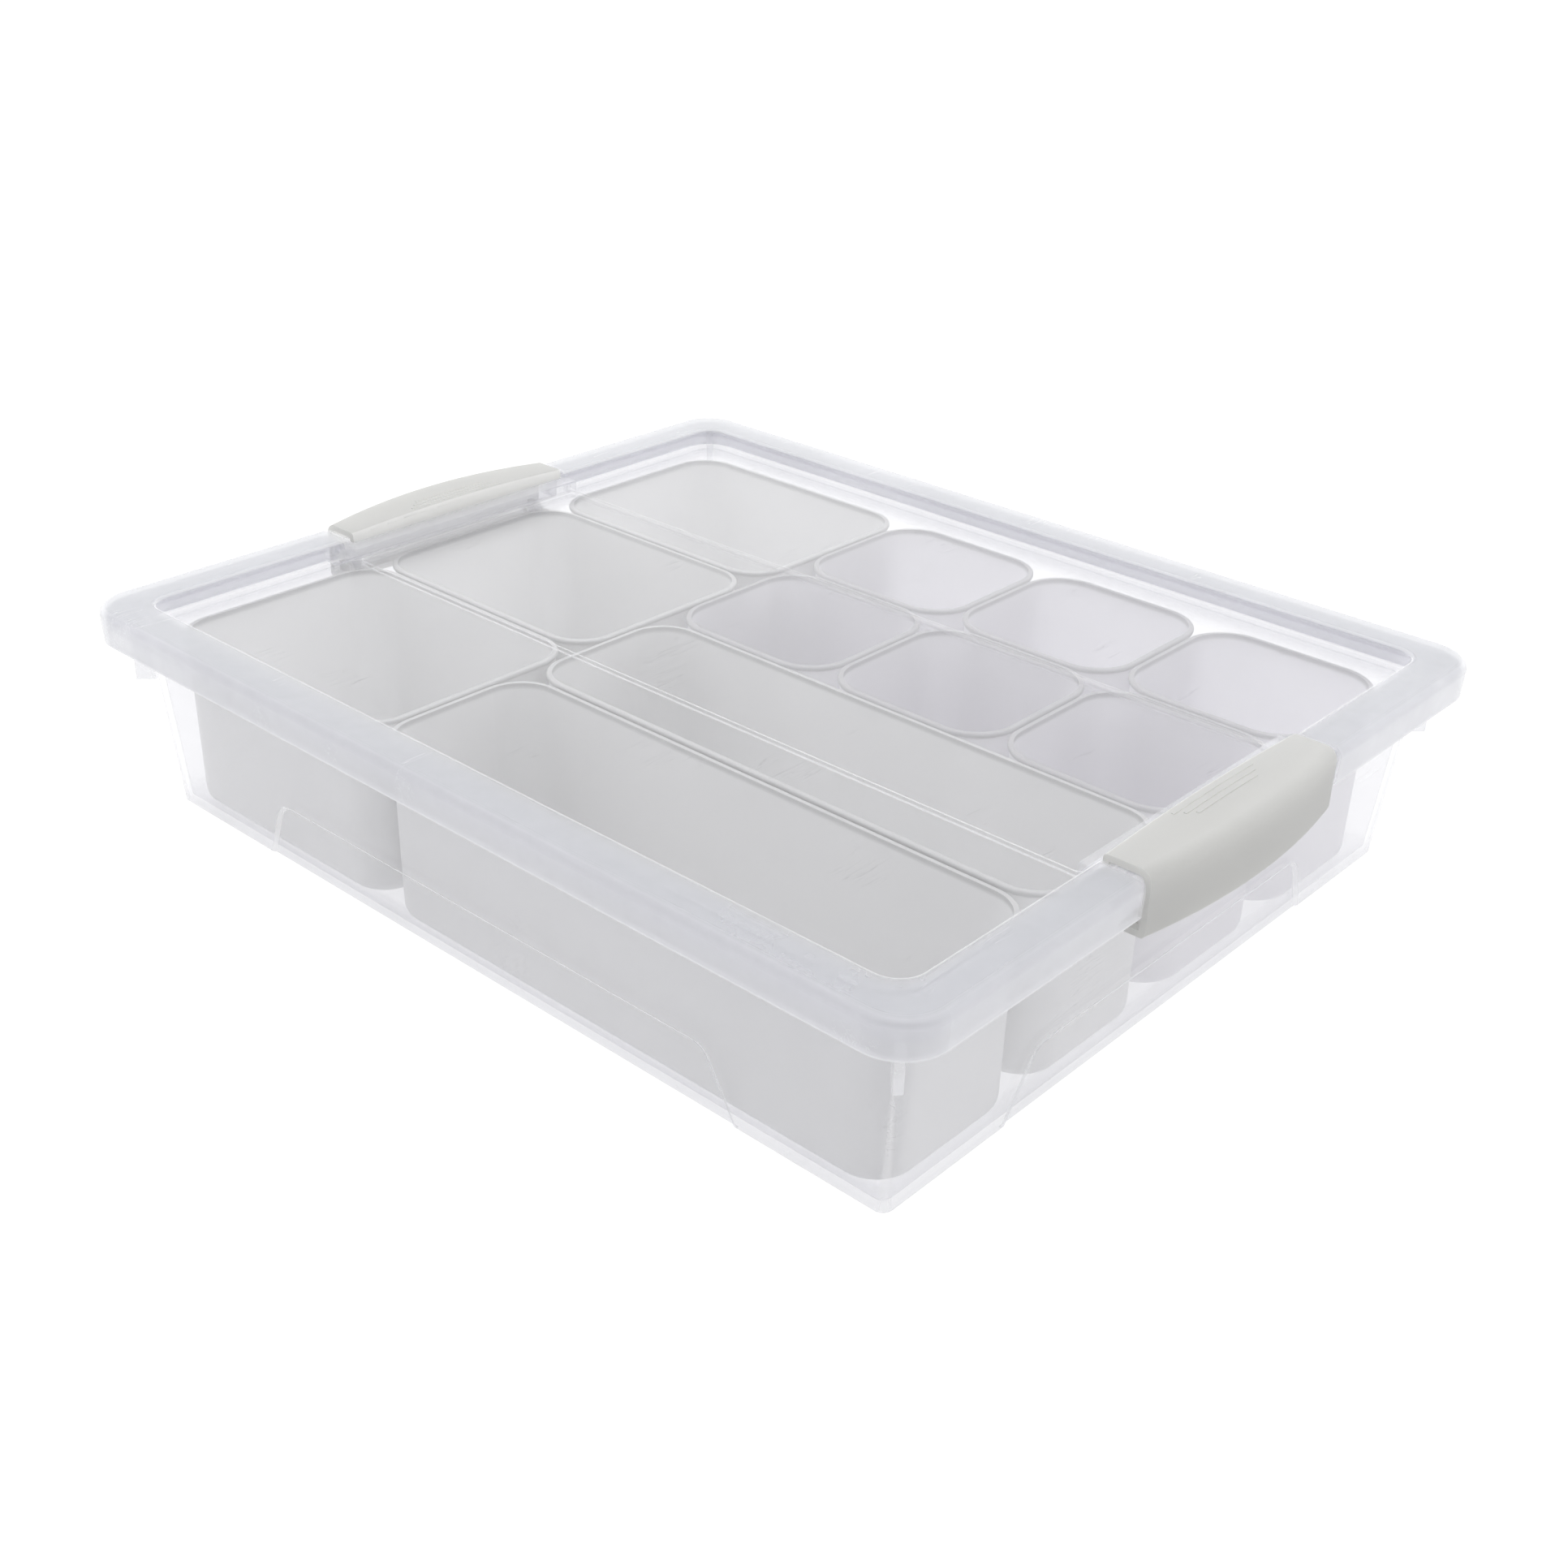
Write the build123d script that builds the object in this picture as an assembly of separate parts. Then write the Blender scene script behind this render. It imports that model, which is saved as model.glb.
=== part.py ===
from build123d import *
import math
import os

# Shallow clip-lid sorting box, millimetres, +Z up, origin at the centre of the
# underside of the base.  +X runs along the length, through the two latches.
# Pieces: one base, one lid, two latches, eleven lift-out cups.

# ---------------------------------------------------------------- lid
LID_L = 395.0            # lid, outside, along X
LID_W = 335.0            # lid, outside, along Y
LID_R = 17.0             # lid corner radius in plan
LID_TOP = 83.0           # top of the raised rim
SKIRT_BOTTOM = 69.7      # lower edge of the lid skirt
SKIRT_DRAFT = 2.5        # degrees, skirt is a little smaller at its lower edge
LID_T = 1.8              # skirt and rim thickness
RIM_ROUND = 3.4          # outer top edge radius
PLUG_HX, PLUG_HY = 179.0, 149.0   # half size of the sunken panel at its floor
PLUG_R = 8.0
PANEL_TOP = 76.0         # sunken panel, top face
PANEL_T = 1.6
PLUG_DRAFT = 13.0        # degrees, wall between rim and panel
BAND_HX, BAND_HY = 175.0, 58.0    # middle band of the panel, sunk a little more
BAND_STEP = 0.8

# ---------------------------------------------------------------- latch seat in the lid
SEAT_HY = 58.0           # half length of the notch in the rim
SEAT_WALL = 1.8
LEDGE_TOP = 80.3         # ledge the latch plate closes over
LEDGE_OUT = 189.5        # outer face of the lid inside the notch
LEDGE_IN = 174.6         # inner face of the ledge, towards the panel

# ---------------------------------------------------------------- base
BASE_HX, BASE_HY = 177.5, 147.7   # half size of the underside
BASE_R = 4.0             # corner radius at the underside
BASE_DRAFT = 5.15        # degrees, walls lean outwards
BASE_T = 2.2             # wall and floor thickness
BASE_TOP = 80.9          # top of the rim flange
FLANGE_HX, FLANGE_HY = 194.6, 164.6
FLANGE_R = 14.0
FLANGE_T = 2.0
FLANGE_LIP = 74.5        # lower edge of the turned-down lip
PANEL_H = 26.3           # height of the sunk panels low on the four walls
PANEL_DEPTH = 1.4
LONG_PANEL = (118.0, 106.0)       # half length at the floor and at its top
SHORT_PANEL = (90.0, 78.0)
CORNER_RIB_Z = 52.0      # lower end of the diagonal rib at each corner
CORNER_RIB_T = 3.0

# ---------------------------------------------------------------- latch
LATCH_HY = 56.0          # half length
LATCH_IN = 180.5         # inner edge of the top plate
LATCH_END_X = 197.5      # outer face at the ends
LATCH_MID_X = 203.2      # outer face at the middle
LATCH_BOTTOM = 61.5
LATCH_END_TOP, LATCH_MID_TOP = 84.5, 86.3
LATCH_T = 2.3
LIP_BOTTOM = 80.7        # lower edge of the hook along the inner edge
LIP_T = 2.0
RETURN_IN = 188.8        # inner edge of the lower return
PIVOT_X, PIVOT_Z = 192.8, 65.0
PIN_D, HOLE_D = 3.2, 3.8
LUG_Y0, LUG_Y1 = 46.0, 49.5       # lugs on the base that carry the latch pins
LUG_R = 3.3
ARM_LOW = -0.6                    # underside of the lug arm from the pivot axis, clear of the opened latch
EAR_Y0, EAR_Y1 = 50.1, 52.7       # ears inside the latch that hold the pins

# ---------------------------------------------------------------- cups
CUP_TOP = 72.0
CUP_BOTTOM = BASE_T + 0.2
CUP_T = 1.2
CUP_LIP = 0.9            # how far the rolled edge stands out
CUP_LIP_H = 1.8
CUP_DRAFT = 0.5          # degrees
CUP_BOTTOM_ROUND = 5.0
GATE_D, GATE_H = 5.0, 0.35        # moulding gate mark on the cup floor
LARGE_X = (-176.5, -55.4)
LONG_X = (-54.2, 175.0)
COL_X = ((-54.2, 22.0), (23.0, 98.5), (99.5, 175.0))
CUPS = {
    "large_cup_front": (LARGE_X, (-146.0, -50.0), 16.5),
    "large_cup_middle": (LARGE_X, (-48.8, 46.7), 16.5),
    "large_cup_back": (LARGE_X, (47.9, 143.4), 16.5),
    "long_tray_front": (LONG_X, (-146.4, -76.8), 16.5),
    "long_tray_back": (LONG_X, (-75.3, -5.8), 16.5),
    "small_cup_front_left": (COL_X[0], (-4.6, 68.9), 18.5),
    "small_cup_front_middle": (COL_X[1], (-4.6, 68.9), 18.5),
    "small_cup_front_right": (COL_X[2], (-4.6, 68.9), 18.5),
    "small_cup_back_left": (COL_X[0], (70.1, 143.6), 18.5),
    "small_cup_back_middle": (COL_X[1], (70.1, 143.6), 18.5),
    "small_cup_back_right": (COL_X[2], (70.1, 143.6), 18.5),
}


def box(x0, x1, y0, y1, z0, z1):
    return Pos((x0 + x1) / 2, (y0 + y1) / 2, (z0 + z1) / 2) * Box(x1 - x0, y1 - y0, z1 - z0)


def slab(hx, hy, r, z, h, draft=0.0):
    """Rounded-corner block from z to z + h; a positive draft makes it wider upwards."""
    face = Pos(0, 0, z) * RectangleRounded(2 * hx, 2 * hy, r)
    return extrude(face, amount=h, taper=-draft) if draft else extrude(face, amount=h)


def grow(h, draft):
    return h * math.tan(math.radians(draft))


def at_z(shape, z, tol=0.01):
    return shape.edges().filter_by(lambda e: abs(e.bounding_box().min.Z - z) < tol and abs(e.bounding_box().max.Z - z) < tol)


# ================================================================ base
def make_base():
    body = slab(BASE_HX, BASE_HY, BASE_R, 0, BASE_TOP, BASE_DRAFT)
    body = fillet(at_z(body, 0), 1.2)
    # flange round the top, with a turned-down lip
    flange = slab(FLANGE_HX, FLANGE_HY, FLANGE_R, FLANGE_LIP, BASE_TOP - FLANGE_LIP)
    flange = fillet(at_z(flange, BASE_TOP), 1.6)
    flange -= slab(FLANGE_HX - FLANGE_T, FLANGE_HY - FLANGE_T, FLANGE_R - FLANGE_T, FLANGE_LIP - 1,
                   BASE_TOP - FLANGE_T - FLANGE_LIP + 1)
    body = body + flange
    # diagonal ribs at the corners, under the flange
    out = grow(CORNER_RIB_Z, BASE_DRAFT)
    for sx in (1, -1):
        for sy in (1, -1):
            cx, cy = sx * (BASE_HX + out), sy * (BASE_HY + out)
            a = math.degrees(math.atan2(sy, sx))
            rib = Pos(cx, cy, 0) * Rot(0, 0, a) * box(-6.0, 4.3, -CORNER_RIB_T / 2, CORNER_RIB_T / 2,
                                                     CORNER_RIB_Z, BASE_TOP - 1.0)
            body += rib
    # sunk panels low on the walls, with sloping sides
    lean = math.radians(BASE_DRAFT)
    for s in (1, -1):
        for along_x, (low, high), half in ((True, LONG_PANEL, BASE_HY), (False, SHORT_PANEL, BASE_HX)):
            if along_x:
                plane = Plane(origin=(0, s * (half - PANEL_DEPTH), 0), x_dir=(-s, 0, 0),
                              z_dir=(0, s * math.cos(lean), -math.sin(lean)))
            else:
                plane = Plane(origin=(s * (half - PANEL_DEPTH), 0, 0), x_dir=(0, s, 0),
                              z_dir=(s * math.cos(lean), 0, -math.sin(lean)))
            prof = Polygon((-low - 1.2, -3), (low + 1.2, -3), (high, PANEL_H - PANEL_DEPTH * 0.7),
                           (-high, PANEL_H - PANEL_DEPTH * 0.7), align=None)
            prof = fillet(prof.vertices().filter_by(lambda v: v.Y > 5), 6.0)
            body -= extrude(plane * prof, amount=PANEL_DEPTH + 3, taper=-35)
    # inside
    g = grow(BASE_T, BASE_DRAFT)
    inner = slab(BASE_HX - BASE_T + g, BASE_HY - BASE_T + g, BASE_R - 0.8, BASE_T, BASE_TOP - BASE_T + 2, BASE_DRAFT)
    inner = fillet(at_z(inner, BASE_T), 1.6)
    body -= inner
    # underside: shallow field inside a narrow foot
    body -= slab(BASE_HX - 9, BASE_HY - 9, 6, -1, 1.6)
    # latch seats: rim cut down, short flange, two lugs
    for s in (1, -1):
        body -= box(*sorted((s * 181.0, s * 210.0)), -60.6, 60.6, LEDGE_TOP - LID_T - 0.4, 95)
        body -= box(*sorted((s * 187.2, s * 210.0)), -60.6, 60.6, 69.0, 95)
        wall_x = BASE_HX + grow(76, BASE_DRAFT)
        body += box(*sorted((s * (wall_x - 1.0), s * 187.2)), -60.6, 60.6, 76.1, LEDGE_TOP - LID_T - 0.4)
        lug_wall = BASE_HX + grow(62, BASE_DRAFT) - 1.0
        for t in (1, -1):
            y0, y1 = sorted((t * LUG_Y0, t * LUG_Y1))
            arm = box(*sorted((s * lug_wall, s * PIVOT_X)), y0, y1, PIVOT_Z + ARM_LOW, PIVOT_Z + LUG_R)
            eye = Pos(s * PIVOT_X, (y0 + y1) / 2, PIVOT_Z) * Rot(90, 0, 0) * Cylinder(LUG_R, y1 - y0)
            hole = Pos(s * PIVOT_X, (y0 + y1) / 2, PIVOT_Z) * Rot(90, 0, 0) * Cylinder(HOLE_D / 2, y1 - y0 + 2)
            body += arm + eye
            body -= hole
    return body


# ================================================================ lid
def make_lid():
    h = LID_TOP - SKIRT_BOTTOM
    g = grow(h, SKIRT_DRAFT)
    lid = slab(LID_L / 2 - g, LID_W / 2 - g, LID_R - g, SKIRT_BOTTOM, h, SKIRT_DRAFT)
    lid = fillet(at_z(lid, LID_TOP), RIM_ROUND)
    hollow = slab(LID_L / 2 - g - LID_T, LID_W / 2 - g - LID_T, LID_R - g - LID_T, SKIRT_BOTTOM, h - LID_T, SKIRT_DRAFT)
    hollow = fillet(at_z(hollow, LID_TOP - LID_T), RIM_ROUND - LID_T)
    lid -= hollow
    # sunken panel with its wall
    under = PANEL_TOP - PANEL_T
    g2 = grow(PANEL_T, PLUG_DRAFT)
    plug = slab(PLUG_HX + 1.5 - g2, PLUG_HY + 1.5 - g2, PLUG_R + 1.3, under, LID_TOP - under - 1.0, PLUG_DRAFT)
    plug = fillet(at_z(plug, under), 1.6)
    lid += plug
    lid += slab(BAND_HX, BAND_HY, 3.0, under - BAND_STEP, 1.6)
    well = slab(PLUG_HX, PLUG_HY, PLUG_R, PANEL_TOP, LID_TOP - PANEL_TOP, PLUG_DRAFT)
    well = fillet(at_z(well, PANEL_TOP), 1.5)
    lid -= well
    lid = fillet(at_z(lid, LID_TOP).filter_by(lambda e: abs(e.center().X) < 185 and abs(e.center().Y) < 155), 1.2)
    band = slab(BAND_HX, BAND_HY, 3.0, PANEL_TOP - BAND_STEP, BAND_STEP)
    band = chamfer(at_z(band, PANEL_TOP - BAND_STEP), BAND_STEP * 0.7)
    lid -= band
    lid -= slab(BAND_HX, BAND_HY, 3.0, PANEL_TOP - 0.01, 3.0)
    # latch seats
    for s in (1, -1):
        def sb(x0, x1, y, z0, z1):
            return box(*sorted((s * x0, s * x1)), -y, y, z0, z1)
        yo = SEAT_HY + SEAT_WALL
        lid += sb(LEDGE_IN, 181.0, yo, under, LEDGE_TOP)
        lid += sb(LEDGE_OUT - LID_T, LID_L / 2 - 1.4, yo, SKIRT_BOTTOM, LID_TOP - 1.5)
        lid += sb(180.0, LID_L / 2 - 1.4, yo, LEDGE_TOP - LID_T, LID_TOP - 1.5)
        lid -= sb(LEDGE_IN - 2.0, 210.0, SEAT_HY, LEDGE_TOP, 95)
        lid -= sb(LEDGE_OUT, 210.0, SEAT_HY, 60, 95)
        lid -= sb(LEDGE_IN + 1.6, LEDGE_OUT - LID_T, SEAT_HY, 60, LEDGE_TOP - LID_T)
        lid = fillet(lid.edges().filter_by(Axis.Y).filter_by(
            lambda e: abs(abs(e.center().X) - LEDGE_OUT) < 0.05 and abs(e.center().Z - LEDGE_TOP) < 0.05
            and s * e.center().X > 0), 1.0)
    return lid


# ================================================================ latch, on the +X side
def make_latch():
    def plan(off, x_in):
        a = Vector(LATCH_END_X - off, -LATCH_HY - 1)
        m = Vector(LATCH_MID_X - off, 0)
        b = Vector(LATCH_END_X - off, LATCH_HY + 1)
        arc = ThreePointArc(a, m, b)
        line = Polyline(b, (x_in, LATCH_HY + 1), (x_in, -LATCH_HY - 1), a)
        return make_face(Curve() + arc + line)

    def crown(up, x0=150, x1=230):
        pts = ((-LATCH_HY - 1, LATCH_END_TOP + up), (0, LATCH_MID_TOP + up), (LATCH_HY + 1, LATCH_END_TOP + up))
        arc = ThreePointArc(*pts)
        line = Polyline(pts[2], (LATCH_HY + 1, 40), (-LATCH_HY - 1, 40), pts[0])
        face = Plane.YZ * make_face(Curve() + arc + line)
        return Pos(x0, 0, 0) * extrude(face, amount=x1 - x0)

    body = extrude(Pos(0, 0, LATCH_BOTTOM) * plan(0, LATCH_IN), amount=40) & crown(0)
    body = body & box(150, 230, -LATCH_HY, LATCH_HY, 40, 120)
    top_out = body.edges().filter_by(lambda e: e.center().Z > 80 and e.center().X > 198 and e.length > 50)
    body = fillet(top_out, 4.6)
    bottom_out = body.edges().filter_by(lambda e: e.center().Z < 62 and e.center().X > 198 and e.length > 50)
    body = fillet(bottom_out, 1.8)
    top_in = body.edges().filter_by(lambda e: e.center().Z > 80 and e.center().X < 181 and e.length > 50)
    body = fillet(top_in, 1.6)
    # inside of the C
    cav = extrude(Pos(0, 0, LATCH_BOTTOM + LATCH_T) * plan(LATCH_T, LATCH_IN + LIP_T), amount=40) & crown(-LATCH_T)
    cav = fillet(cav.edges().filter_by(lambda e: e.center().Z > 80 and e.center().X > 195 and e.length > 50), 2.4)
    body -= cav
    body -= box(150, LATCH_IN + LIP_T + 0.01, -80, 80, 40, LIP_BOTTOM)
    body -= box(150, RETURN_IN, -80, 80, 40, LIP_BOTTOM)
    # finger ridges on the top plate
    for x, hy in ((183.6, 23.5), (186.2, 20.5), (188.8, 17.5)):
        body += (box(x - 0.6, x + 0.6, -hy, hy, 84.5, 95) & crown(0.2))
    # end chamfer of the open ends, then ears and pins
    for t in (1, -1):
        # return cut away round the base lugs
        y0, y1 = sorted((t * (LUG_Y0 - 0.7), t * (EAR_Y0 - 0.05)))
        edge = LATCH_END_X + (LATCH_MID_X - LATCH_END_X) * (1 - (48.0 / LATCH_HY) ** 2) - LATCH_T - 0.3
        body -= box(150, edge, y0, y1, 50, LATCH_BOTTOM + LATCH_T + 0.2)
        y0, y1 = sorted((t * EAR_Y0, t * EAR_Y1))
        ear = box(PIVOT_X, LATCH_END_X - 1.0, y0, y1, LATCH_BOTTOM + 1.0, PIVOT_Z + 3.2)
        ear += Pos(PIVOT_X, (y0 + y1) / 2, PIVOT_Z) * Rot(90, 0, 0) * Cylinder(3.2, y1 - y0)
        body += ear
        p0, p1 = sorted((t * (LUG_Y0 - 0.4), t * (EAR_Y0 + 0.5)))
        body += Pos(PIVOT_X, (p0 + p1) / 2, PIVOT_Z) * Rot(90, 0, 0) * Cylinder(PIN_D / 2, p1 - p0)
    return body


# ================================================================ cups
def make_cup(xr, yr, r):
    w, d = xr[1] - xr[0], yr[1] - yr[0]
    h = CUP_TOP - CUP_BOTTOM
    g = grow(h, CUP_DRAFT)
    bx, by, br = w / 2 - CUP_LIP - g, d / 2 - CUP_LIP - g, r - CUP_LIP - g
    outer = slab(bx, by, br, CUP_BOTTOM, h, CUP_DRAFT)
    outer = fillet(at_z(outer, CUP_BOTTOM), CUP_BOTTOM_ROUND)
    lip = slab(w / 2, d / 2, r, CUP_TOP - CUP_LIP_H, CUP_LIP_H)
    lip = fillet(at_z(lip, CUP_TOP) + at_z(lip, CUP_TOP - CUP_LIP_H), 0.8)
    outer = outer + lip
    g2 = grow(CUP_T, CUP_DRAFT)
    inner = slab(bx - CUP_T + g2, by - CUP_T + g2, br - CUP_T + g2, CUP_BOTTOM + CUP_T, h, CUP_DRAFT)
    inner = fillet(at_z(inner, CUP_BOTTOM + CUP_T), CUP_BOTTOM_ROUND - CUP_T)
    cup = outer - inner
    cup += Pos(0, 0, CUP_BOTTOM + CUP_T + GATE_H / 2 - 0.05) * Cylinder(GATE_D / 2, GATE_H + 0.1)
    return Pos((xr[0] + xr[1]) / 2, (yr[0] + yr[1]) / 2, 0) * cup


os.makedirs("parts", exist_ok=True)
base = make_base()
lid = make_lid()
latch_right = make_latch()
latch_left = Rot(0, 0, 180) * latch_right
shapes = {"base": base, "lid": lid, "latch_right": latch_right, "latch_left": latch_left}
made = {}
for name, (xr, yr, r) in CUPS.items():
    shapes[name] = make_cup(xr, yr, r)
for name, shape in shapes.items():
    solids = shape.solids()
    if len(solids) != 1:
        print("note:", name, "has", len(solids), "solids", [round(q.volume, 1) for q in solids])
    export_step(solids[0] if len(solids) == 1 else shape, f"parts/{name}.step")
print("written", len(shapes))
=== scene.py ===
import math

import bpy
from mathutils import Matrix, Vector

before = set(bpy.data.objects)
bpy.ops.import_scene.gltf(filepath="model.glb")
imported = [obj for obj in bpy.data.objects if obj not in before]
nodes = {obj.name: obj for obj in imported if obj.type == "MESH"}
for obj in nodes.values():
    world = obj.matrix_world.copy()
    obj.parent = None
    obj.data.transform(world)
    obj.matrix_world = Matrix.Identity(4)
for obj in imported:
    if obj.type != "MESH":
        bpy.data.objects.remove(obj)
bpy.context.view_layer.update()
scene = bpy.context.scene

CLEAR = ["base", "lid"]
LATCHES = ["latch_right", "latch_left"]
CUPS = [n for n in nodes if n not in CLEAR + LATCHES]


# ------------------------------------------------------------------ node helpers
class Tree:
    """Small helper for building a material's node tree."""

    def __init__(self, name):
        self.mat = bpy.data.materials.new(name)
        self.mat.use_nodes = True
        self.nt = self.mat.node_tree
        self.nt.nodes.clear()
        self.out = self.nt.nodes.new("ShaderNodeOutputMaterial")

    def add(self, kind, **settings):
        n = self.nt.nodes.new(kind)
        for k, v in settings.items():
            setattr(n, k, v)
        return n

    def link(self, a, b):
        self.nt.links.new(a, b)

    def value(self, socket, v):
        if isinstance(v, bpy.types.NodeSocket):
            self.link(v, socket)
        else:
            socket.default_value = v

    def math(self, op, a, b=None, c=None, clamp=False):
        n = self.add("ShaderNodeMath", operation=op, use_clamp=clamp)
        self.value(n.inputs[0], a)
        if b is not None:
            self.value(n.inputs[1], b)
        if c is not None:
            self.value(n.inputs[2], c)
        return n.outputs[0]

    def coords(self):
        return self.add("ShaderNodeTexCoord").outputs["Object"]

    def noise(self, at, scale, detail=3.0, rough=0.5, stretch=None):
        if stretch is not None:
            m = self.add("ShaderNodeMapping")
            m.inputs["Scale"].default_value = stretch
            self.link(at, m.inputs["Vector"])
            at = m.outputs[0]
        n = self.add("ShaderNodeTexNoise")
        self.link(at, n.inputs["Vector"])
        n.inputs["Scale"].default_value = scale
        n.inputs["Detail"].default_value = detail
        n.inputs["Roughness"].default_value = rough
        return n.outputs["Fac"]

    def span(self, v, lo, hi, to_lo, to_hi, smooth=False):
        n = self.add("ShaderNodeMapRange")
        n.clamp = True
        if smooth:
            n.interpolation_type = "SMOOTHSTEP"
        self.value(n.inputs["Value"], v)
        n.inputs["From Min"].default_value = lo
        n.inputs["From Max"].default_value = hi
        n.inputs["To Min"].default_value = to_lo
        n.inputs["To Max"].default_value = to_hi
        return n.outputs["Result"]

    def mix(self, fac, a, b):
        n = self.add("ShaderNodeMix", data_type="RGBA")
        self.value(n.inputs[0], fac)
        for s, v in ((n.inputs[6], a), (n.inputs[7], b)):
            if isinstance(v, bpy.types.NodeSocket):
                self.link(v, s)
            else:
                s.default_value = (*v, 1.0)
        return n.outputs[2]

    def bump(self, height, strength, distance, normal=None):
        n = self.add("ShaderNodeBump")
        n.inputs["Strength"].default_value = strength
        n.inputs["Distance"].default_value = distance
        self.link(height, n.inputs["Height"])
        if normal is not None:
            self.link(normal, n.inputs["Normal"])
        return n.outputs["Normal"]

    def split(self, at):
        n = self.add("ShaderNodeSeparateXYZ")
        self.link(at, n.inputs[0])
        return (self.math("ABSOLUTE", n.outputs[0]), self.math("ABSOLUTE", n.outputs[1]), n.outputs[2])

    def near(self, v, centre, half):
        """1 where v is within half of centre, with a soft edge."""
        return self.span(self.math("ABSOLUTE", self.math("SUBTRACT", v, centre)), half * 0.55, half, 1.0, 0.0)

    def outline(self, x, y, hx, hy, r):
        """Signed distance in plan to a rounded rectangle; x and y are absolute values."""
        dx = self.math("SUBTRACT", x, hx - r)
        dy = self.math("SUBTRACT", y, hy - r)
        far_x, far_y = self.math("MAXIMUM", dx, 0.0), self.math("MAXIMUM", dy, 0.0)
        far = self.math("SQRT", self.math("ADD", self.math("MULTIPLY", far_x, far_x), self.math("MULTIPLY", far_y, far_y)))
        inside = self.math("MINIMUM", self.math("MAXIMUM", dx, dy), 0.0)
        return self.math("SUBTRACT", self.math("ADD", far, inside), r)

    def many(self, masks):
        out = masks[0]
        for m in masks[1:]:
            out = self.math("MAXIMUM", out, m)
        return out

    def scuffs(self, at, scale, width, turn):
        """Thin, sparse, nearly straight scratches: 1 on a scratch and 0 elsewhere."""
        m = self.add("ShaderNodeMapping")
        m.inputs["Rotation"].default_value = (0.2, 0.1, turn)
        m.inputs["Scale"].default_value = (1.0, 0.06, 1.0)
        self.link(at, m.inputs["Vector"])
        n = self.add("ShaderNodeTexNoise")
        self.link(m.outputs[0], n.inputs["Vector"])
        n.inputs["Scale"].default_value = scale
        n.inputs["Detail"].default_value = 2.0
        line = self.math("ABSOLUTE", self.math("SUBTRACT", n.outputs["Fac"], 0.5))
        line = self.span(line, 0.0, width, 1.0, 0.0)
        where = self.span(self.noise(at, 26.0, 2.0), 0.56, 0.68, 0.0, 1.0)
        return self.math("MULTIPLY", line, where)


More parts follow.
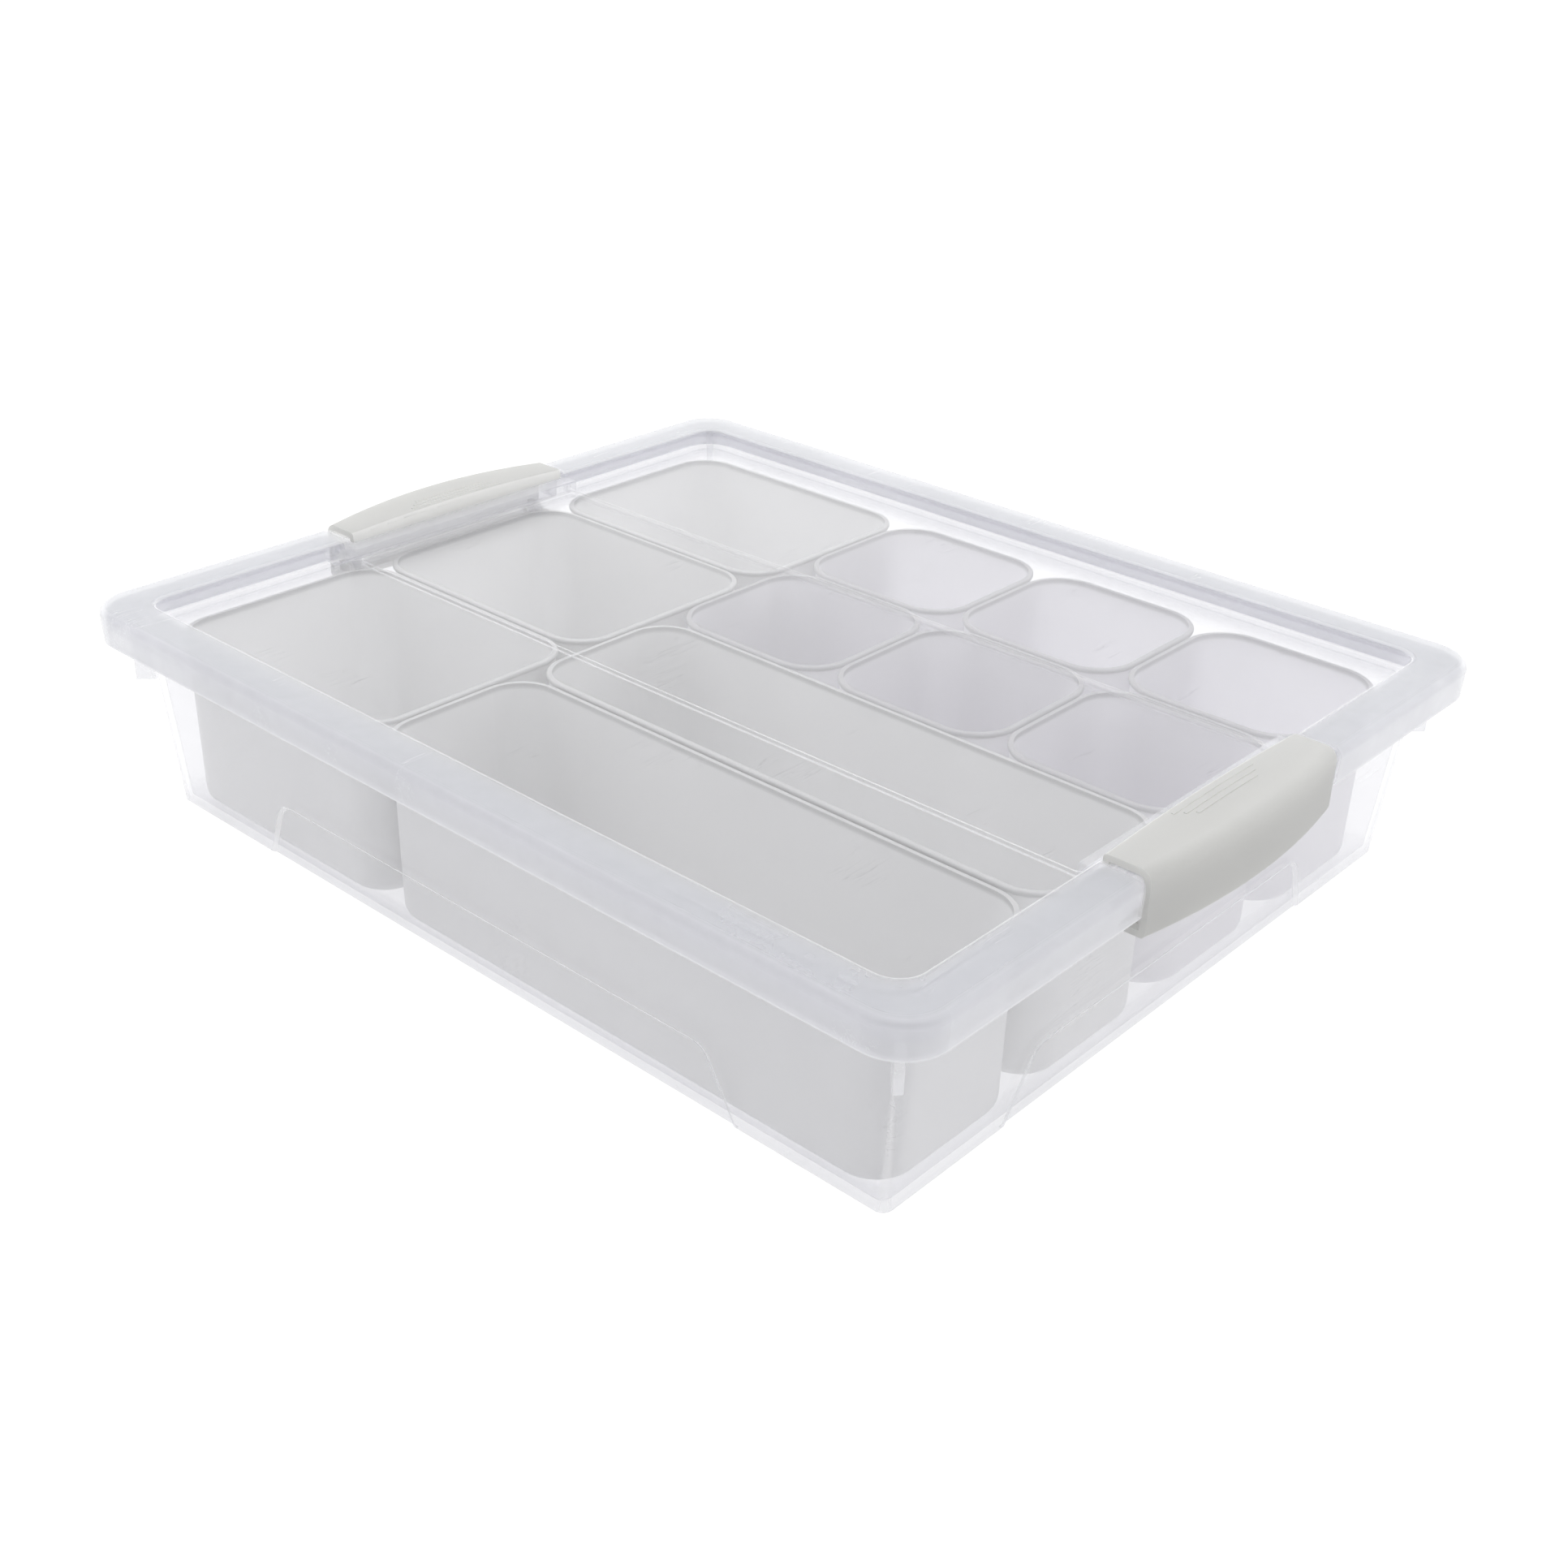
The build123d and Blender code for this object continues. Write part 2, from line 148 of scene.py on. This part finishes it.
# ------------------------------------------------------------------ materials
def clear_plastic(name, panel, rim, shade, rim_zone, edges, highlight_line_haze):
    """Clear moulded polypropylene with a milky haze.  panel and rim are (tint let through, haze at one face) for the
    thin field and for the thick rim; the haze is denser and the gloss stronger where a face is seen at a slant.
    edges gives thin painted highlight lines along the moulded edges, which get a paler colour, more haze and more
    gloss;
    rim_zone also gives a mask that paints the colour paler: painted light on the lid's latch seats and skirt, and a
    paler tone on the base's ribs and flange."""
    t = Tree(name)
    at = t.coords()
    cloud = t.noise(at, 22.0, 4.0, 0.55)
    grain = t.noise(at, 900.0, 2.0, 0.6)
    flow = t.noise(at, 9.0, 3.0, 0.5, stretch=(1.0, 2.6, 1.0))
    scuff = t.math("ADD", t.scuffs(at, 260.0, 0.006, 0.5), t.scuffs(at, 210.0, 0.005, 2.1), clamp=True)
    zone, pale = rim_zone(t, at)
    # line: mask of the painted highlight lines along the moulded edges.
    line = edges(t, at)
    normal = t.bump(flow, 0.10, 0.0006)

    see = t.add("ShaderNodeBsdfTransparent")
    t.link(t.mix(zone, panel[0], rim[0]), see.inputs["Color"])

    p = t.add("ShaderNodeBsdfPrincipled")
    p.inputs["IOR"].default_value = 1.49
    p.inputs["Specular IOR Level"].default_value = 0.3
    p.inputs["Roughness"].default_value = 0.5
    colour = t.mix(t.span(cloud, 0.3, 0.7, 0.0, 1.0), tuple(c * 0.97 for c in shade[0]), shade[0])
    colour = t.mix(t.math("MINIMUM", zone, 1.0), colour, shade[1])
    # Painted highlight and painted light: the edge lines and the pale mask lift the colour to a pale grey.
    colour = t.mix(t.math("MAXIMUM", line, pale), colour, (0.90, 0.90, 0.92))
    t.link(colour, p.inputs["Base Color"])
    t.link(normal, p.inputs["Normal"])
    through = t.add("ShaderNodeBsdfTranslucent")
    t.link(colour, through.inputs["Color"])
    veil = t.add("ShaderNodeMixShader")
    veil.inputs[0].default_value = 0.5
    t.link(p.outputs[0], veil.inputs[1])
    t.link(through.outputs[0], veil.inputs[2])

    facing = t.add("ShaderNodeLayerWeight")
    facing.inputs["Blend"].default_value = 0.5
    slant = facing.outputs["Facing"]
    haze = t.math("MULTIPLY_ADD", zone, rim[1] - panel[1], panel[1])
    haze = t.math("MULTIPLY", haze, t.span(cloud, 0.3, 0.7, 0.88, 1.12))
    haze = t.math("MULTIPLY", haze, t.math("MULTIPLY_ADD", t.math("POWER", slant, 3.0), 2.0, 1.0))
    haze = t.math("MULTIPLY_ADD", scuff, 0.05, haze)
    # Painted highlight lines: more haze on them here, and more gloss in the mix below.
    haze = t.math("MULTIPLY_ADD", line, highlight_line_haze, haze, clamp=True)
    body = t.add("ShaderNodeMixShader")
    t.link(haze, body.inputs[0])
    t.link(see.outputs[0], body.inputs[1])
    t.link(veil.outputs[0], body.inputs[2])

    gloss = t.add("ShaderNodeBsdfGlossy")
    gloss.inputs["Color"].default_value = (1.0, 1.0, 1.0, 1.0)
    fine = t.math("MULTIPLY_ADD", grain, 0.06, t.span(cloud, 0.3, 0.7, 0.14, 0.21))
    t.link(t.math("MULTIPLY_ADD", scuff, 0.2, fine), gloss.inputs["Roughness"])
    t.link(normal, gloss.inputs["Normal"])
    schlick = t.math("MULTIPLY_ADD", t.math("POWER", slant, 5.0), 0.96, 0.035)
    schlick = t.math("MULTIPLY_ADD", line, 0.16, schlick, clamp=True)
    m = t.add("ShaderNodeMixShader")
    t.link(schlick, m.inputs[0])
    t.link(body.outputs[0], m.inputs[1])
    t.link(gloss.outputs[0], m.inputs[2])
    t.link(m.outputs[0], t.out.inputs["Surface"])
    return t.mat


def lid_rim(t, at):
    """Haze zone: 1 on the lid's raised rim and skirt, much less on the latch seats, 0 on the sunken panel.  Second
    mask: painted light that makes the latch seats, in shade below the latches, and the outer rounding and skirt
    paler.
    """
    x, y, z = t.split(at)
    zone = t.span(t.outline(x, y, 0.1805, 0.1505, 0.009), 0.0002, 0.0018, 0.0, 1.0, smooth=True)
    # Latch seats: less haze, and painted light that makes them paler where the latches shade them.
    seat_x = t.span(x, 0.1725, 0.1745, 0.0, 1.0, smooth=True)
    seat_y = t.span(y, 0.0585, 0.0605, 1.0, 0.0, smooth=True)
    seat = t.math("MULTIPLY", seat_x, seat_y)
    calm = t.math("MULTIPLY_ADD", seat, -0.78, 1.0)
    # Painted light: the outer rounding and skirt, which get less light, are painted paler.
    side = t.span(t.outline(x, y, 0.1975, 0.1675, 0.017), -0.0030, -0.0018, 0.0, 0.75, smooth=True)
    return t.math("MULTIPLY", t.math("MAXIMUM", zone, seat), calm), t.math("MAXIMUM", seat, side)


def lid_highlight_lines(t, at):
    """Masks for painted highlights: thin pale lines painted along the moulded edges of the rim, skirt, panel and its
    middle band.
    """
    x, y, z = t.split(at)
    high = t.span(z, 0.0812, 0.0818, 0.0, 1.0)
    low = t.span(z, 0.0768, 0.0772, 1.0, 0.0)
    well = t.outline(x, y, 0.1804, 0.1504, 0.0095)
    return t.many([
        t.math("MULTIPLY", t.math("MULTIPLY", t.near(well, 0.0005, 0.0007), high), 0.6),
        t.math("MULTIPLY", t.math("MULTIPLY", t.near(t.outline(x, y, 0.1975, 0.1675, 0.017), -0.0028, 0.0006), high), 0.12),
        t.math("MULTIPLY", t.math("MULTIPLY", t.near(t.outline(x, y, 0.1790, 0.1490, 0.008), -0.0004, 0.0006), low), 0.6),
        t.math("MULTIPLY", t.math("MULTIPLY", t.near(t.outline(x, y, 0.1750, 0.0580, 0.003), 0.0, 0.0007), low), 0.8),
        t.span(z, 0.0699, 0.0706, 0.9, 0.0),
    ])


def base_rim(t, at):
    """1 on the base's flange and its foot, falling to 0 on the thin walls."""
    x, y, z = t.split(at)
    foot = t.span(z, 0.0015, 0.0075, 1.0, 0.0, smooth=True)
    wall = t.outline(x, y, 0.1775, 0.1477, 0.004)
    foot = t.math("MULTIPLY", foot, t.span(wall, -0.010, -0.007, 0.0, 1.0))
    rib = t.span(t.math("SUBTRACT", wall, t.math("MULTIPLY", z, 0.0901)), 0.0003, 0.0009, 0.0, 1.0)
    rim = t.span(z, 0.060, 0.078, 0.0, 1.0, smooth=True)
    return t.many([rim, t.math("MULTIPLY", foot, 1.15), rib]), t.math("MULTIPLY", rib, 0.5)


def base_highlight_lines(t, at):
    """Painted highlights: thin pale lines painted along the outlines of the sunk wall panels, the upright corners and
    the foot.
    """
    x, y, z = t.split(at)
    lean = t.math("MULTIPLY", z, 0.0901)
    wx = t.math("SUBTRACT", t.math("SUBTRACT", x, 0.1775), lean)
    wy = t.math("SUBTRACT", t.math("SUBTRACT", y, 0.1477), lean)
    masks = []
    for across, along, low, high in ((wy, x, 0.1180, 0.1060), (wx, y, 0.0900, 0.0780)):
        side = t.math("MULTIPLY_ADD", z, (low - high) / 0.0263, t.math("SUBTRACT", along, low))
        side = t.math("MULTIPLY", side, 0.91)
        top = t.math("SUBTRACT", z, 0.0258)
        n = t.add("ShaderNodeMath", operation="SMOOTH_MAX")
        t.link(side, n.inputs[0])
        t.link(top, n.inputs[1])
        n.inputs[2].default_value = 0.010
        outer = t.math("MULTIPLY", t.span(across, -0.0017, -0.0015, 0.0, 1.0), t.span(z, 0.030, 0.031, 1.0, 0.0))
        masks.append(t.math("MULTIPLY", t.near(n.outputs[0], 0.0, 0.0009), outer))
    corner = t.outline(x, y, 0.1775, 0.1477, 0.004)
    corner = t.math("SUBTRACT", corner, lean)
    both = t.math("MINIMUM", wx, wy)
    masks.append(t.math("MULTIPLY", t.span(both, -0.0034, -0.0022, 0.0, 0.8), t.span(corner, -0.0012, -0.0006, 0.0, 1.0)))
    return t.many(masks)


def milky_plastic(name, body, through):
    """Thin milky polypropylene: nearly opaque, soft, and light shows through it a little."""
    t = Tree(name)
    at = t.coords()
    cloud = t.noise(at, 16.0, 4.0, 0.55)
    grain = t.noise(at, 1400.0, 2.0, 0.6)
    p = t.add("ShaderNodeBsdfPrincipled")
    p.inputs["IOR"].default_value = 1.49
    p.inputs["Specular IOR Level"].default_value = 0.35
    colour = t.mix(t.span(cloud, 0.3, 0.7, 0.0, 1.0), tuple(c * 0.98 for c in body), body)
    # Painted shade: the cups' top rims are painted darker.
    edge = t.span(t.split(at)[2], 0.0692, 0.0712, 0.0, 1.0, smooth=True)
    colour = t.mix(edge, colour, tuple(c * 0.66 for c in body))
    t.link(colour, p.inputs["Base Color"])
    t.link(t.span(cloud, 0.3, 0.7, 0.42, 0.54), p.inputs["Roughness"])
    t.link(t.bump(grain, 0.12, 0.00005), p.inputs["Normal"])
    back = t.add("ShaderNodeBsdfTranslucent")
    t.link(colour, back.inputs["Color"])
    m = t.add("ShaderNodeMixShader")
    m.inputs[0].default_value = through
    t.link(p.outputs[0], m.inputs[1])
    t.link(back.outputs[0], m.inputs[2])
    t.link(m.outputs[0], t.out.inputs["Surface"])
    return t.mat


def latch_plastic(name, body):
    """Solid warm off-white plastic with a fine satin texture and slightly rubbed edges; faces turned in towards the
    box or downwards are painted lighter, as painted light in their shade.
    """
    t = Tree(name)
    at = t.coords()
    cloud = t.noise(at, 30.0, 4.0, 0.55)
    grain = t.noise(at, 1700.0, 3.0, 0.65)
    p = t.add("ShaderNodeBsdfPrincipled")
    p.inputs["IOR"].default_value = 1.5
    p.inputs["Specular IOR Level"].default_value = 0.4
    colour = t.mix(t.span(cloud, 0.3, 0.7, 0.0, 1.0), tuple(c * 0.985 for c in body), body)
    scuff = t.scuffs(at, 420.0, 0.006, 1.2)
    colour = t.mix(t.math("MULTIPLY", scuff, 0.3), colour, tuple(c * 0.93 for c in body))
    # Painted light: faces that point in towards the box or downwards, which sit in shade, are painted a lighter
    # off-white.
    place = t.add("ShaderNodeSeparateXYZ")
    t.link(at, place.inputs[0])
    way = t.add("ShaderNodeSeparateXYZ")
    t.link(t.add("ShaderNodeTexCoord").outputs["Normal"], way.inputs[0])
    inwards_painted_light = t.span(t.math("MULTIPLY", t.math("SIGN", place.outputs[0]), way.outputs[0]), -0.6, -0.3, 1.0, 0.0)
    under_painted_light = t.span(way.outputs[2], -0.6, -0.3, 1.0, 0.0)
    colour = t.mix(t.math("MAXIMUM", inwards_painted_light, under_painted_light), colour, (0.93, 0.93, 0.92))
    t.link(colour, p.inputs["Base Color"])
    rough = t.math("ADD", t.span(grain, 0.3, 0.7, 0.44, 0.54), t.span(cloud, 0.3, 0.7, -0.04, 0.04))
    t.link(rough, p.inputs["Roughness"])
    t.link(t.bump(grain, 0.35, 0.00008), p.inputs["Normal"])
    back = t.add("ShaderNodeBsdfTranslucent")
    t.link(colour, back.inputs["Color"])
    m = t.add("ShaderNodeMixShader")
    m.inputs[0].default_value = 0.60
    t.link(p.outputs[0], m.inputs[1])
    t.link(back.outputs[0], m.inputs[2])
    t.link(m.outputs[0], t.out.inputs["Surface"])
    return t.mat


shell_base = clear_plastic(
    "clear_shell_base", ((0.985, 0.985, 0.992), 0.055), ((0.97, 0.97, 0.98), 0.13),
    ((0.58, 0.58, 0.60), (0.66, 0.66, 0.69)), base_rim, base_highlight_lines, 0.34,
)
shell_lid = clear_plastic(
    "clear_shell_lid", ((0.985, 0.985, 0.99), 0.04), ((0.97, 0.97, 0.98), 0.33),
    ((0.60, 0.60, 0.62), (0.585, 0.595, 0.612)), lid_rim, lid_highlight_lines, 0.26,
)
milky_large = milky_plastic("milky_cup_large", (0.885, 0.885, 0.885), 0.26)
milky_small = milky_plastic("milky_cup_small", (0.925, 0.92, 0.935), 0.50)
latch = latch_plastic("latch_plastic", (0.735, 0.735, 0.7235))

for name, mat in [("base", shell_base), ("lid", shell_lid)] + [(n, latch) for n in LATCHES] + [
    (n, milky_small if n.startswith("small") else milky_large) for n in CUPS
]:
    o = nodes[name]
    for s in o.material_slots:
        s.material = mat
    if not o.material_slots:
        o.data.materials.append(mat)

# ------------------------------------------------------------------ floor, light and camera
floor_mesh = bpy.data.meshes.new("floor")
r = 9.0
floor_mesh.from_pydata([(-r, -r, -0.0004), (r, -r, -0.0004), (r, r, -0.0004), (-r, r, -0.0004)], [], [(0, 1, 2, 3)])
floor = bpy.data.objects.new("floor", floor_mesh)
scene.collection.objects.link(floor)
ft = Tree("floor_paper")
fp = ft.add("ShaderNodeBsdfPrincipled")
fn = ft.noise(ft.coords(), 40.0, 3.0)
ft.link(ft.mix(fn, (0.16, 0.16, 0.16), (0.19, 0.19, 0.19)), fp.inputs["Base Color"])
fp.inputs["Roughness"].default_value = 0.9
fp.inputs["Specular IOR Level"].default_value = 0.0
fp.inputs["Emission Color"].default_value = (1, 1, 1, 1)
fp.inputs["Emission Strength"].default_value = 0.88
ft.link(fp.outputs[0], ft.out.inputs["Surface"])
floor_mesh.materials.append(ft.mat)

world = bpy.data.worlds.new("studio")
scene.world = world
world.use_nodes = True
wt = world.node_tree
wt.nodes.clear()
coord = wt.nodes.new("ShaderNodeTexCoord")
dot = wt.nodes.new("ShaderNodeVectorMath")
dot.operation = "DOT_PRODUCT"
dot.inputs[1].default_value = (-0.45, 0.52, 0.73)
wt.links.new(coord.outputs["Generated"], dot.inputs[0])
ramp = wt.nodes.new("ShaderNodeMapRange")
ramp.interpolation_type = "SMOOTHSTEP"
ramp.inputs["From Min"].default_value = -0.55
ramp.inputs["From Max"].default_value = 0.55
ramp.inputs["To Min"].default_value = 0.18
ramp.inputs["To Max"].default_value = 1.42
wt.links.new(dot.outputs["Value"], ramp.inputs["Value"])
bg = wt.nodes.new("ShaderNodeBackground")
bg.inputs["Color"].default_value = (1.0, 1.0, 1.0, 1.0)
direct = wt.nodes.new("ShaderNodeLightPath")
plain = wt.nodes.new("ShaderNodeMix")
plain.inputs[3].default_value = 1.05
wt.links.new(direct.outputs["Is Camera Ray"], plain.inputs[0])
wt.links.new(ramp.outputs["Result"], plain.inputs[2])
wt.links.new(plain.outputs[0], bg.inputs["Strength"])
wo = wt.nodes.new("ShaderNodeOutputWorld")
wt.links.new(bg.outputs[0], wo.inputs["Surface"])


def lamp(name, at, to, size, power, colour=(1, 1, 1)):
    data = bpy.data.lights.new(name, "AREA")
    data.shape = "RECTANGLE"
    data.size, data.size_y = size
    data.energy = power
    data.color = colour
    o = bpy.data.objects.new(name, data)
    scene.collection.objects.link(o)
    o.location = at
    o.rotation_euler = (Vector(to) - Vector(at)).to_track_quat("-Z", "Y").to_euler()
    return o


key = lamp("softbox_back", (-0.55, 0.75, 1.9), (0, 0, 0.03), (1.6, 1.2), 11.5)
side_left = lamp("softbox_left", (-0.80, -0.50, 0.34), (-0.16, -0.12, 0.04), (0.8, 0.6), 1.25)
side_right = lamp("softbox_right", (0.75, 0.80, 0.34), (0.15, 0.14, 0.04), (0.6, 0.5), 1.0)
for o in (key, side_left, side_right):
    o.visible_glossy = False
    o.visible_camera = False
    o.visible_transmission = False

AZ, EL, ROLL = math.radians(41.197), math.radians(28.199), math.radians(1.8115)
back = Vector((math.sin(AZ) * math.cos(EL), -math.cos(AZ) * math.cos(EL), math.sin(EL)))
right = Vector((math.cos(AZ), math.sin(AZ), 0.0))
up = right.cross(-back)
r2 = right * math.cos(ROLL) + up * math.sin(ROLL)
u2 = -right * math.sin(ROLL) + up * math.cos(ROLL)
cam_data = bpy.data.cameras.new("camera")
cam_data.lens, cam_data.sensor_width = 45.41, 36.0
cam_data.clip_start, cam_data.clip_end = 0.01, 50.0
cam = bpy.data.objects.new("camera", cam_data)
scene.collection.objects.link(cam)
turn = Matrix((r2, u2, back)).transposed().to_4x4()
cam.matrix_world = Matrix.Translation((0.44342, -0.50096, 0.37653)) @ turn
scene.camera = cam

scene.view_settings.view_transform = "Standard"
scene.view_settings.look = "None"
scene.cycles.use_denoising = True
scene.cycles.transparent_max_bounces = 48
scene.cycles.max_bounces = 14
scene.cycles.diffuse_bounces = 6
scene.cycles.transmission_bounces = 12
